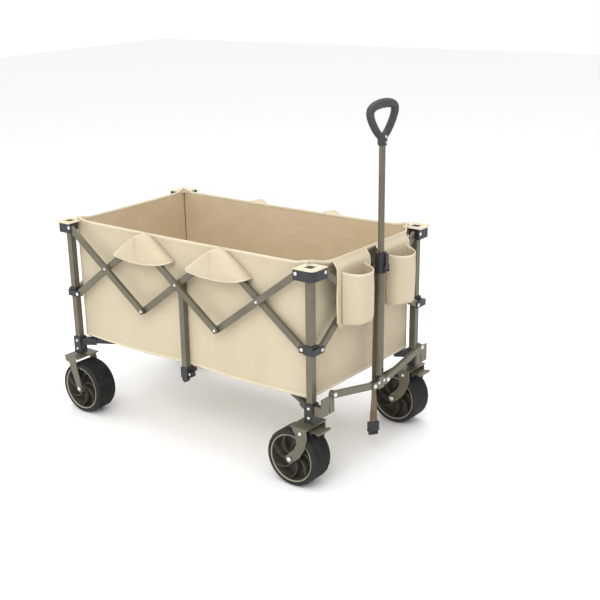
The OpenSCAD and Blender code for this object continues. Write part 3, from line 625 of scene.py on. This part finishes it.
for name, side, body in long_sides:
    for k in (1, 2):
        lay = flap(side, k)
        ob = sewn(f"joint_flap_{name}_{k}", cloth(72, 34, 0.30, 0.14, lay, merge=True), body,
                  (first_x + k * cell, 0, 0.6), 0.0018)
        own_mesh(ob)
        bm = bmesh.new()
        proud = Vector((0, side * 0.0006, 0))
        stitch_line(bm, along(60, lambda u: lay(u, 0.93) + proud), 0.006)
        for u0 in (0.5 - 0.03, 0.5 + 0.03, 0.03, 0.97):
            stitch_line(bm, along(20, lambda v: lay(u0, 0.06 + 0.9 * v) + proud), 0.006)
        seams = piece(f"flap_stitching_{name}_{k}", bm, body, thread, flat=True)
        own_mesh(seams)
        hem = along(72, lambda u: lay(u, 1.0) - Vector((0, side * 0.0009, 0)))
        edge_binding(f"flap_hem_{name}_{k}", hem, body, (wall_rear, 0, 0), keep_x, 0.0022, 0.0016)
print("flaps:", 2 * len(long_sides))

# %% [markdown]
# ## Corner patches
# A bound patch of doubled cloth covers each top bracket, with a square hole over the post's end.
# It is cut from a three by three grid: the middle square is deleted, the outer corner is rounded,
# and the rest is extruded to its thickness and bevelled.

# %% Corner patches
for name, (x, side, end) in corners.items():
    bm = bmesh.new()
    uv = bm.loops.layers.uv.new("cloth")
    bmesh.ops.create_grid(bm, x_segments=3, y_segments=3, size=1.5)
    xs, ys = (-0.0375, -0.0135, 0.0135, 0.034), (-0.0375, -0.0135, 0.0135, 0.034)
    for v in bm.verts:
        v.co.x, v.co.y = xs[round(v.co.x + 1.5)], ys[round(v.co.y + 1.5)]
    hole = [f for f in bm.faces if f.calc_center_median().length < 0.008]
    bmesh.ops.delete(bm, geom=hole, context="FACES")
    outer = [v for v in bm.verts if (v.co - Vector((-0.0375, -0.0375, 0))).length < 1e-4]
    bmesh.ops.bevel(bm, geom=outer, offset=0.020, affect="VERTICES", segments=6, profile=0.5, material=-1)
    inner = [v for v in bm.verts if (v.co - Vector((0.034, 0.034, 0))).length < 1e-4]
    bmesh.ops.bevel(bm, geom=inner, offset=0.012, affect="VERTICES", segments=4, profile=0.5, material=-1)
    for face in bm.faces:
        for loop in face.loops:
            loop[uv].uv = (loop.vert.co.x, loop.vert.co.y)
    up_faces = bmesh.ops.extrude_face_region(bm, geom=bm.faces[:])
    raised = [g for g in up_faces["geom"] if isinstance(g, bmesh.types.BMVert)]
    bmesh.ops.translate(bm, verts=raised, vec=(0, 0, 0.0034))
    rim_edges = [e for e in bm.edges if len(e.link_faces) == 2 and abs(e.calc_face_angle(0)) > 1.0]
    bmesh.ops.bevel(bm, geom=rim_edges, offset=0.0011, affect="EDGES", segments=2, profile=0.5, material=-1)
    place = Matrix.Translation((x, side * post_y, bracket_top + 0.0002))
    bmesh.ops.transform(bm, verts=bm.verts, matrix=place @ Matrix.Diagonal((-end, -side, 1, 1)))
    piece("corner_patch_" + name, bm, "corner_" + name, binding, slot="oxford_fabric", sharp=50)
    bm = bmesh.new()
    ring = [(-0.0345, 0.031), (-0.0345, -0.020), (-0.020, -0.0345), (0.031, -0.0345),
            (0.031, 0.031), (-0.0345, 0.031)]
    square = [(-0.0165, -0.0165), (0.0165, -0.0165), (0.0165, 0.0165), (-0.0165, 0.0165), (-0.0165, -0.0165)]
    for loop_points in (ring, square):
        laid = [(x - end * a, side * (post_y - b), bracket_top + 0.0038) for a, b in loop_points]
        stitch_line(bm, laid, 0.005)
    piece("patch_stitching_" + name, bm, "corner_" + name, thread, flat=True)
    # black plug pressed into the post's top
    bm = bmesh.new()
    plug = bmesh.ops.create_cube(bm, size=1.0)
    bmesh.ops.transform(bm, verts=plug["verts"], matrix=Matrix.Diagonal((0.0205, 0.0205, 0.003, 1)))
    top = [f for f in bm.faces if f.normal.z > 0.5]
    bmesh.ops.inset_region(bm, faces=top, thickness=0.0035, depth=0)
    bmesh.ops.translate(bm, verts=list({v for f in top for v in f.verts}), vec=(0, 0, -0.0018))
    bmesh.ops.bevel(bm, geom=bm.edges[:], offset=0.0004, affect="EDGES", segments=1, profile=0.5, material=-1)
    bmesh.ops.translate(bm, verts=bm.verts, vec=(x, side * post_y, bracket_top + 0.0017))
    piece("post_plug_" + name, bm, "corner_" + name, plastic, slot="fitting_plastic", sharp=30)
print("patches:", len(corners))

# %% [markdown]
# ## Front covers and cup pockets
# Two covers hang from the front rim over the crossed links, and each carries a deep cup pocket:
# half a cylinder of cloth with a hemmed, slightly pinched mouth and a rounded base.

# %% Covers and pockets
cover_x = front_x + 0.0338
pocket_low, pocket_high, pocket_y = 0.480, 0.640, 0.115
cover_low = pocket_low - 0.006
for name, side in (("right", -1), ("left", 1)):
    body = "corner_front_" + name
    near, far = 0.026, 0.190
    anchor, keep = (0, side * wall_y, 0), keep_y

    def cover_lay(u, v):
        y = near + (far - near) * u
        # the top few centimetres lean back to the rim
        z = cover_low + (rim_z - 0.005 - cover_low) * v
        # the two lower corners are rounded
        z += 0.016 * max(0.0, (abs(2 * u - 1) - 0.78) / 0.22) ** 2 * (1 - v) ** 4
        lean = max(0.0, (v - 0.86) / 0.14)
        ease = lean * lean * (3 - 2 * lean)
        rim_x = wall_front + 0.006 + rim_lean(y, rim_z)
        x = cover_x + (rim_x - cover_x) * ease - 0.0012 + soft(y, z, 0.06, 0.0014) * (1 - ease)
        x += 0.003 * sin(pi * u) * sin(pi * v) * (1 - ease) - 0.003
        return Vector((x, side * y, z))

    def pocket_lay(u, v):
        a = (u - 0.5) * pi
        z = pocket_low + (pocket_high - pocket_low) * v - 0.007 * cos(a) * v + 0.004 * cos(a) * (1 - v)
        base = min(1.0, v / 0.10)
        plump = (1 - 0.055 * (1 - base) ** 2) * (0.965 + 0.03 * sin(pi * v)) - 0.02 * max(0.0, v - 0.86)
        crease = 0.0022 * sin(5 * a + 1.3 * side) * (1 - 0.6 * v) * cos(a) + soft(a * 0.06, z, 0.03, 0.0018)
        rx = 0.0585 * plump + crease
        ry = 0.0590 * plump + crease * 0.4
        return Vector((cover_x + rx * cos(a), side * pocket_y + ry * sin(a), z))

    def base_lay(u, v):
        edge = pocket_lay(u, 0.0)
        middle = Vector((cover_x, side * pocket_y, pocket_low + 0.001))
        return middle.lerp(edge, v) - Vector((0, 0, 0.0035 * sin(pi * min(1, v)) * cos((u - 0.5) * pi)))

    for label, lay, across, down, size, area in (
            ("front_cover_", cover_lay, 40, 44, (far - near, rim_z - cover_low), None),
            ("cup_pocket_", pocket_lay, 56, 34, (pi * 0.0585, 0.160), None),
            ("pocket_base_", base_lay, 40, 10, (0.12, 0.06), 0.0054)):
        bm = cloth(across, down, size[0], size[1], lay, merge=label == "pocket_base_")
        middle = (cover_x - 0.02, side * pocket_y, 0.56)
        ob = sewn(label + name, bm, body, middle)
        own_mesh(ob)
        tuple(anchor)
    edges = {
        "mouth": (along(50, lambda u: pocket_lay(u, 1.0) + Vector((-0.0009, 0, -0.002))), 0.0042, 0.0019),
        "inner": (along(40, lambda v: cover_lay(0.0, v) + Vector((-0.0009, 0, 0))), 0.0026, 0.0022),
        "outer": (along(40, lambda v: cover_lay(1.0, v) + Vector((-0.0009, 0, 0))), 0.0026, 0.0022)}
    for edge, (path, wide, deep) in edges.items():
        across_side = (0, 0, 1) if edge == "mouth" else (0, 1, 0)
        edge_binding(f"cover_{edge}_{name}", path, body, anchor, keep, wide, deep, across_side)
    bm = bmesh.new()
    stitch_line(bm, along(50, lambda u: pocket_lay(u, 0.935) + Vector((0.0004, 0, 0))), 0.006)
    stitch_line(bm, along(50, lambda u: pocket_lay(u, 0.03) + Vector((0.0004, 0, 0))), 0.006)
    stitch_line(bm, along(30, lambda u: cover_lay(u, 0.80) + Vector((0.0004, 0, 0))), 0.006)
    for u0 in (0.03, 0.97):
        stitch_line(bm, along(30, lambda v: cover_lay(u0, 0.02 + 0.95 * v) + Vector((0.0004, 0, 0))), 0.006)
    ob = piece("pocket_stitching_" + name, bm, body, thread, flat=True)
    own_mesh(ob)
    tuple(anchor)

# %% [markdown]
# ## Rivets and end plugs
# Every joint of the frame is a steel rivet. Its head is a low dome: a short cone with its
# top edge bevelled and its middle raised. Link tubes are closed by black plugs at both ends.

# %% Rivet heads and plugs
def dome(bm, place, axis, radius=0.0056, height=0.0024):
    """A rivet head whose flat back is at place and whose dome points along axis."""
    turn = Vector(axis).to_track_quat("Z", "Y").to_matrix().to_4x4()
    ring = bmesh.ops.create_cone(bm, cap_ends=True, segments=20, radius1=radius, radius2=radius * 0.93,
                                 depth=height * 0.5)
    top = [e for e in {e for v in ring["verts"] for e in v.link_edges}
           if all(v.co.z > 0 for v in e.verts)]
    made = bmesh.ops.bevel(bm, geom=top, offset=radius * 0.42, affect="EDGES",
                           segments=3, profile=0.5, material=-1)
    verts = {v for v in ring["verts"] if v.is_valid} | set(made["verts"])
    inner = [v for v in verts if v.co.z > height * 0.1 and hypot(v.co.x, v.co.y) < radius * 0.8]
    bmesh.ops.translate(bm, verts=inner, vec=(0, 0, height * 0.28))
    bmesh.ops.transform(bm, verts=list(verts), matrix=Matrix.Translation(Vector(place)) @ turn
                        @ Matrix.Translation((0, 0, height * 0.25)))


heads = {}


def head(body, place, axis, radius=0.0056, height=0.0024):
    heads.setdefault(body, []).append((place, axis, radius, height))


for name, s in (("right", -1), ("left", 1)):
    def long_face(n):
        return s * (post_y + layers[n] + link_half_t)
    x = [first_x + cell * k / 2 for k in range(7)]
    for link, n, spots in (("1a", 0, ((1, mid_z), (2, slide_z))),
                           ("2a", 0, ((2, top_z), (3, mid_z), (4, slide_z))),
                           ("2b", 1, ((4, top_z),)), ("3b", 1, ((5, mid_z),))):
        for k, z in spots:
            head(f"{name}_link_{link}", (x[k], long_face(n), z), (0, s, 0))
for end, x0, out in (("rear", rear_x, -1), ("front", front_x, 1)):
    face = x0 + out * (layers[0] + link_half_t)
    for link, spots in (("1a", ((-cross_y, mid_z), (0, low_z))), ("2b", ((0, high_z), (cross_y, mid_z)))):
        for y, z in spots:
            head(f"{end}_link_{link}", (face, y, z), (out, 0, 0))
# brackets and sliders: one head on the outside of each ear
slider_layers = {"rear_right": (1, 1), "rear_left": (1, 0), "front_right": (2, 1), "front_left": (2, 0)}
for name, (x0, s, out) in corners.items():
    long_n, short_n = slider_layers[name]
    for body, z, long_out, short_out in (
            ("corner_" + name, top_z, 0.033, 0.033),
            ("slider_" + name, slide_z, layers[long_n] + 0.009, layers[short_n] + 0.009)):
        head(body, (x0 - out * pivot_in, s * (post_y + long_out), z), (0, s, 0), 0.0062)
        head(body, (x0 + out * short_out, s * (post_y - pivot_in), z), (out, 0, 0), 0.0062)
    # foot connector: two rivets on each outer face, one beside the stem
    for z in (0.222, 0.252):
        head("corner_" + name, (x0, s * (post_y + 0.0155), z), (0, s, 0), 0.005)
        if out < 0:
            head("corner_" + name, (x0 + out * 0.0155, s * post_y, z), (out, 0, 0), 0.005)
# yoke, hub, middle posts and forks
for name, s in (("right", -1), ("left", 1)):
    head("corner_front_" + name, (front_x + 0.0587, s * yoke_y, yoke_z), (1, 0, 0), 0.0068, 0.003)
    head("yoke_hub", (handle_x + 0.0107, s * hub_y, hub_z), (1, 0, 0), 0.0066, 0.003)
    head("yoke_hub", (handle_x + 0.0093, s * 0.014, hub_z + 0.004), (1, 0, 0), 0.0052, 0.0024)
    head("mid_post_" + name, (first_x + 1.5 * cell, s * 0.2855, 0.258), (0, s, 0), 0.004)
    head("mid_post_" + name, (first_x + 1.5 * cell + 0.016, s * 0.281, 0.241), (0, s, 0), 0.005)
    for face in (-1, 1):
        bolt_y, brake_y = s * post_y + face * 0.0514, s * post_y + face * 0.049
        head("corner_rear_" + name, (rear_axle_x, bolt_y, wheel_r), (0, face, 0), 0.0085, 0.0025)
        head("caster_" + name, (front_axle_x, bolt_y, wheel_r), (0, face, 0), 0.0085, 0.0025)
        head("caster_" + name, (front_x - 0.008, brake_y, 0.182), (0, face, 0), 0.0058, 0.0026)
for body, spots in heads.items():
    bm = bmesh.new()
    for spot in spots:
        dome(bm, *spot)
    piece("rivets_" + body, bm, body, rivet_steel, sharp=60)

link_ends = {}
for name, s in (("right", -1), ("left", 1)):
    x = [first_x + cell * k for k in range(4)]
    for k in range(3):
        n_a, n_b = (0, 0, 2)[k], 1
        y_a, y_b = s * (post_y + layers[n_a]), s * (post_y + layers[n_b])
        link_ends[f"{name}_link_{k + 1}a"] = ((x[k], y_a, top_z), (x[k + 1], y_a, slide_z), "Y")
        link_ends[f"{name}_link_{k + 1}b"] = ((x[k], y_b, slide_z), (x[k + 1], y_b, top_z), "Y")
end_y0 = post_y - pivot_in
for end, x0, out in (("rear", rear_x, -1), ("front", front_x, 1)):
    a, b = x0 + out * layers[0], x0 + out * layers[1]
    link_ends[end + "_link_1a"] = ((a, -end_y0, top_z), (a, 0, low_z), "X")
    link_ends[end + "_link_1b"] = ((b, -end_y0, slide_z), (b, 0, high_z), "X")
    link_ends[end + "_link_2a"] = ((b, 0, low_z), (b, end_y0, top_z), "X")
    link_ends[end + "_link_2b"] = ((a, 0, high_z), (a, end_y0, slide_z), "X")
for body, (a, b, axis) in link_ends.items():
    bm = bmesh.new()
    turn = Matrix.Rotation(pi / 2, 4, "X" if axis == "Y" else "Y")
    for place in (a, b):
        bmesh.ops.create_cone(bm, cap_ends=True, segments=28, radius1=0.0103, radius2=0.0103, depth=0.0084,
                              matrix=Matrix.Translation(place) @ turn)
    bmesh.ops.bevel(bm, geom=[e for e in bm.edges if e.calc_face_angle(0) > 1.0], offset=0.0009,
                    affect="EDGES", segments=2, profile=0.5, material=-1)
    piece("end_plugs_" + body, bm, body, plastic, slot="fitting_plastic", sharp=40)
print("rivet groups:", len(heads), "plug groups:", len(link_ends))

# %% [markdown]
# ## Wheels
# The tyre is one profile with grooves, spun round the axle. Its tread is then waved sideways, so
# that the grooves snake as on a soft sand tyre. The rim is spun too, and its curved spokes are
# blades laid from the hub to the barrel.

# %% Tyre
def spun(profile, steps):
    """A profile of (radius, along-axle) points, spun a full turn about Y."""
    bm = bmesh.new()
    verts = [bm.verts.new((r, y, 0)) for r, y in profile]
    edges = [bm.edges.new(pair) for pair in zip(verts, verts[1:])]
    edges.append(bm.edges.new((verts[-1], verts[0])))
    bmesh.ops.spin(bm, geom=verts + edges, cent=(0, 0, 0), axis=(0, 1, 0), angle=2 * pi,
                   steps=steps, use_merge=True)
    bmesh.ops.remove_doubles(bm, verts=bm.verts, dist=1e-6)
    return bm


rim_r = 0.0762
half_profile = [(rim_r, 0.0), (rim_r, 0.0395), (rim_r + 0.0009, 0.0422), (rim_r + 0.0032, 0.0430),
                (0.0828, 0.0429), (0.0853, 0.0415), (0.0868, 0.0385)]
tread = [(0.0882, 0.0355)]
tread_top, groove = 0.0897, 0.0858
for y in (0.0300, 0.0212, 0.0124, 0.0040):
    tread += [(tread_top, y + 0.0034), (tread_top, y + 0.0017), (groove, y + 0.0010),
              (groove, y - 0.0012), (tread_top, y - 0.0019)]
one_side = half_profile + tread
tyre_profile = one_side + [(r, -y) for r, y in reversed(one_side)]


def build_tyre():
    bm = spun(tyre_profile, 120)
    for v in bm.verts:
        r = hypot(v.co.x, v.co.z)
        if r > 0.0856:
            turn = atan2(v.co.z, v.co.x)
            hold = max(0.0, 1 - (abs(v.co.y) / 0.040) ** 4)
            v.co.y += 0.0030 * sin(22 * turn) * hold
    return bm


# %% [markdown]
# The rim's profile runs from the bore out to a lip, painted paler as a highlight. Each face of the
# wheel carries its own spokes, mirrored so that both curve the same way seen from outside. A spoke
# is a closed tube.

# %% Rim and spokes
rim_half = [(0.0062, 0.0405), (0.0105, 0.0405), (0.0135, 0.0380), (0.0160, 0.0250), (0.0175, 0.0120),
            (rim_r - 0.0102, 0.0100),
            (rim_r - 0.0062, 0.0180), (rim_r - 0.0050, 0.0380)]
lip_half = [(rim_r - 0.0048, 0.0394), (rim_r - 0.0034, 0.0416), (rim_r - 0.0014, 0.0422),
            (rim_r - 0.0002, 0.0404)]
spoke_count = 7


def build_rim():
    bm = spun(rim_half + lip_half + [(r, -y) for r, y in reversed(rim_half + lip_half)], 96)
    for face in bm.faces:
        c = face.calc_center_median()
        # faces on the lip take the painted highlight
        face.material_index = 1 if hypot(c.x, c.z) > rim_r - 0.0049 else 0
    return bm


def build_spokes():
    whole = bmesh.new()
    for out in (-1, 1):
        for i in range(spoke_count):
            def lay(u, v):
                r = 0.0140 + (rim_r - 0.0190) * u
                a = 2 * pi * i / spoke_count + 0.80 * u ** 1.3 * out
                across = (0.0030 + 0.0014 * u) * cos(2 * pi * v)
                depth = 0.0215 + 0.004 * u + 0.0115 * sin(2 * pi * v)
                return Vector((r * cos(a) - across * sin(a), out * depth, r * sin(a) + across * cos(a)))
            part = cloth(10, 10, 0.05, 0.03, lay, merge=True)
            bmesh.ops.holes_fill(part, edges=[e for e in part.edges if e.is_boundary], sides=0)
            bmesh.ops.recalc_face_normals(part, faces=part.faces)
            temp = bpy.data.meshes.new("one_spoke")
            part.to_mesh(temp)
            part.free()
            whole.from_mesh(temp)
            bpy.data.meshes.remove(temp)
    return whole


for name, body, at in (("rear_right", "wheel_rear_right", (rear_axle_x, -post_y)),
                       ("rear_left", "wheel_rear_left", (rear_axle_x, post_y)),
                       ("front_right", "wheel_front_right", (front_axle_x, -post_y)),
                       ("front_left", "wheel_front_left", (front_axle_x, post_y))):
    place = Matrix.Translation((at[0], at[1], wheel_r))
    for label, build, finishes, slot in (("tyre_", build_tyre, (tyre_rubber,), "tyre_rubber"),
                                         ("rim_", build_rim, (rim_plastic, rim_lip_highlight), None),
                                         ("spokes_", build_spokes, (rim_plastic,), None)):
        bm = build()
        bmesh.ops.transform(bm, verts=bm.verts, matrix=place)
        ob = piece(label + name, bm, body, *finishes, slot=slot, sharp=38)
        if label == "tyre_":
            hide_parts("wheel_" + name)
print("tyre profile points:", len(tyre_profile))

# %% [markdown]
# ## Grip
# The hand grip is one moulded loop: wide at the top bar and drawn in to the neck. A closed path is
# swept with an oval section, and finger waves press into the underside of the bar.

# %% Grip loop
def grip_path(t):
    """The loop's middle line: t runs once round, starting at the neck."""
    a = 2 * pi * t
    y = 0.0600 * (sin(a) - 0.18 * sin(2 * a))
    z = 1.0545 - 0.0470 * cos(a) - 0.0056 * cos(2 * a)
    return Vector((handle_x, y, z))


def grip_lay(u, v):
    here, ahead = grip_path(u), grip_path(u + 0.004)
    way = (ahead - here).normalized()
    inward = Vector((1, 0, 0)).cross(way)
    top = max(0.0, -cos(2 * pi * u))
    wide = 0.0118 + 0.0014 * top
    thick = 0.0098 + 0.0036 * top ** 2
    a = 2 * pi * v
    wave = 0.0011 * sin(2 * pi * 22 * u) * top * max(0.0, cos(a))
    return here + Vector((1, 0, 0)) * wide * sin(a) + inward * (thick - wave) * cos(a)


bm = cloth(120, 20, 0.36, 0.07, grip_lay, merge=True)
loop = piece("grip_loop", bm, "handle_upper", grip_rubber, slot="trim_plastic")
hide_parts("handle_grip")
bm = bmesh.new()
profile = [(0.0, 0.978), (0.0122, 0.978), (0.0138, 0.981), (0.0138, 0.994), (0.0125, 1.004),
           (0.0118, 1.012), (0.0, 1.014)]
verts = [bm.verts.new((r, 0, z)) for r, z in profile]
edges = [bm.edges.new(pair) for pair in zip(verts, verts[1:])]
bmesh.ops.spin(bm, geom=verts + edges, cent=(0, 0, 0), axis=(0, 0, 1), angle=2 * pi,
               steps=40, use_merge=True)
bmesh.ops.remove_doubles(bm, verts=bm.verts, dist=1e-6)
for v in bm.verts:
    if v.co.z > 0.990:
        v.co.y *= 1 + (v.co.z - 0.990) * 26
bmesh.ops.translate(bm, verts=bm.verts, vec=(handle_x, 0, 0))
piece("grip_neck", bm, "handle_upper", grip_rubber, slot="trim_plastic", sharp=40)
bm = bmesh.new()
for z in (0.987, 1.003):
    dome(bm, (handle_x + 0.0125, 0.0, z), (1, 0, 0), 0.0042, 0.0022)
piece("grip_rivets", bm, "handle_upper", rivet_steel, sharp=60)
bm = bmesh.new()
for z in (0.606, 0.660):
    bmesh.ops.create_cone(bm, cap_ends=False, segments=40, radius1=0.0173, radius2=0.0173, depth=0.004,
                          matrix=Matrix.Translation((handle_x, 0, z)))
bmesh.ops.solidify(bm, geom=bm.faces[:], thickness=0.0012)
piece("collar_rings", bm, "handle", plastic, slot="trim_plastic", sharp=40)
print("grip width", round(2 * max(grip_path(i / 60).y for i in range(60)), 3))

# %% [markdown]
# ## Floor and light
# A pale floor and three large, soft lights, with a bright plain surround.

# %% Studio
bm = bmesh.new()
bmesh.ops.create_grid(bm, x_segments=1, y_segments=1, size=12)
mesh = bpy.data.meshes.new("studio_floor")
bm.to_mesh(mesh)
bm.free()
floor = bpy.data.objects.new("studio_floor", mesh)
bpy.context.scene.collection.objects.link(floor)
pale = bpy.data.materials.new("pale_floor")
pale.use_nodes = True
pale.node_tree.nodes["Principled BSDF"].inputs["Base Color"].default_value = (0.93, 0.93, 0.93, 1)
pale.node_tree.nodes["Principled BSDF"].inputs["Roughness"].default_value = 0.9
mesh.materials.append(pale)

world = bpy.data.worlds.new("studio")
world.use_nodes = True
world.node_tree.nodes["Background"].inputs[0].default_value = (1, 1, 1, 1)
world.node_tree.nodes["Background"].inputs[1].default_value = 1.0
bpy.context.scene.world = world
for label, at, size, watts in (("key", (1.6, -3.2, 3.4), 2.4, 80), ("fill", (-3.4, -1.6, 2.2), 2.6, 22),
                               ("top", (-0.2, 0.6, 4.2), 3.2, 60)):
    lamp = bpy.data.lights.new(label, "AREA")
    lamp.shape, lamp.size, lamp.energy = "SQUARE", size, watts
    ob = bpy.data.objects.new(label, lamp)
    bpy.context.scene.collection.objects.link(ob)
    ob.location = at
    ob.rotation_mode = "QUATERNION"
    ob.rotation_quaternion = (Vector(at) - Vector((0, 0, 0.35))).to_track_quat("Z", "Y")
bpy.context.scene.view_settings.view_transform = "Standard"
print("lights:", len(bpy.data.lights))
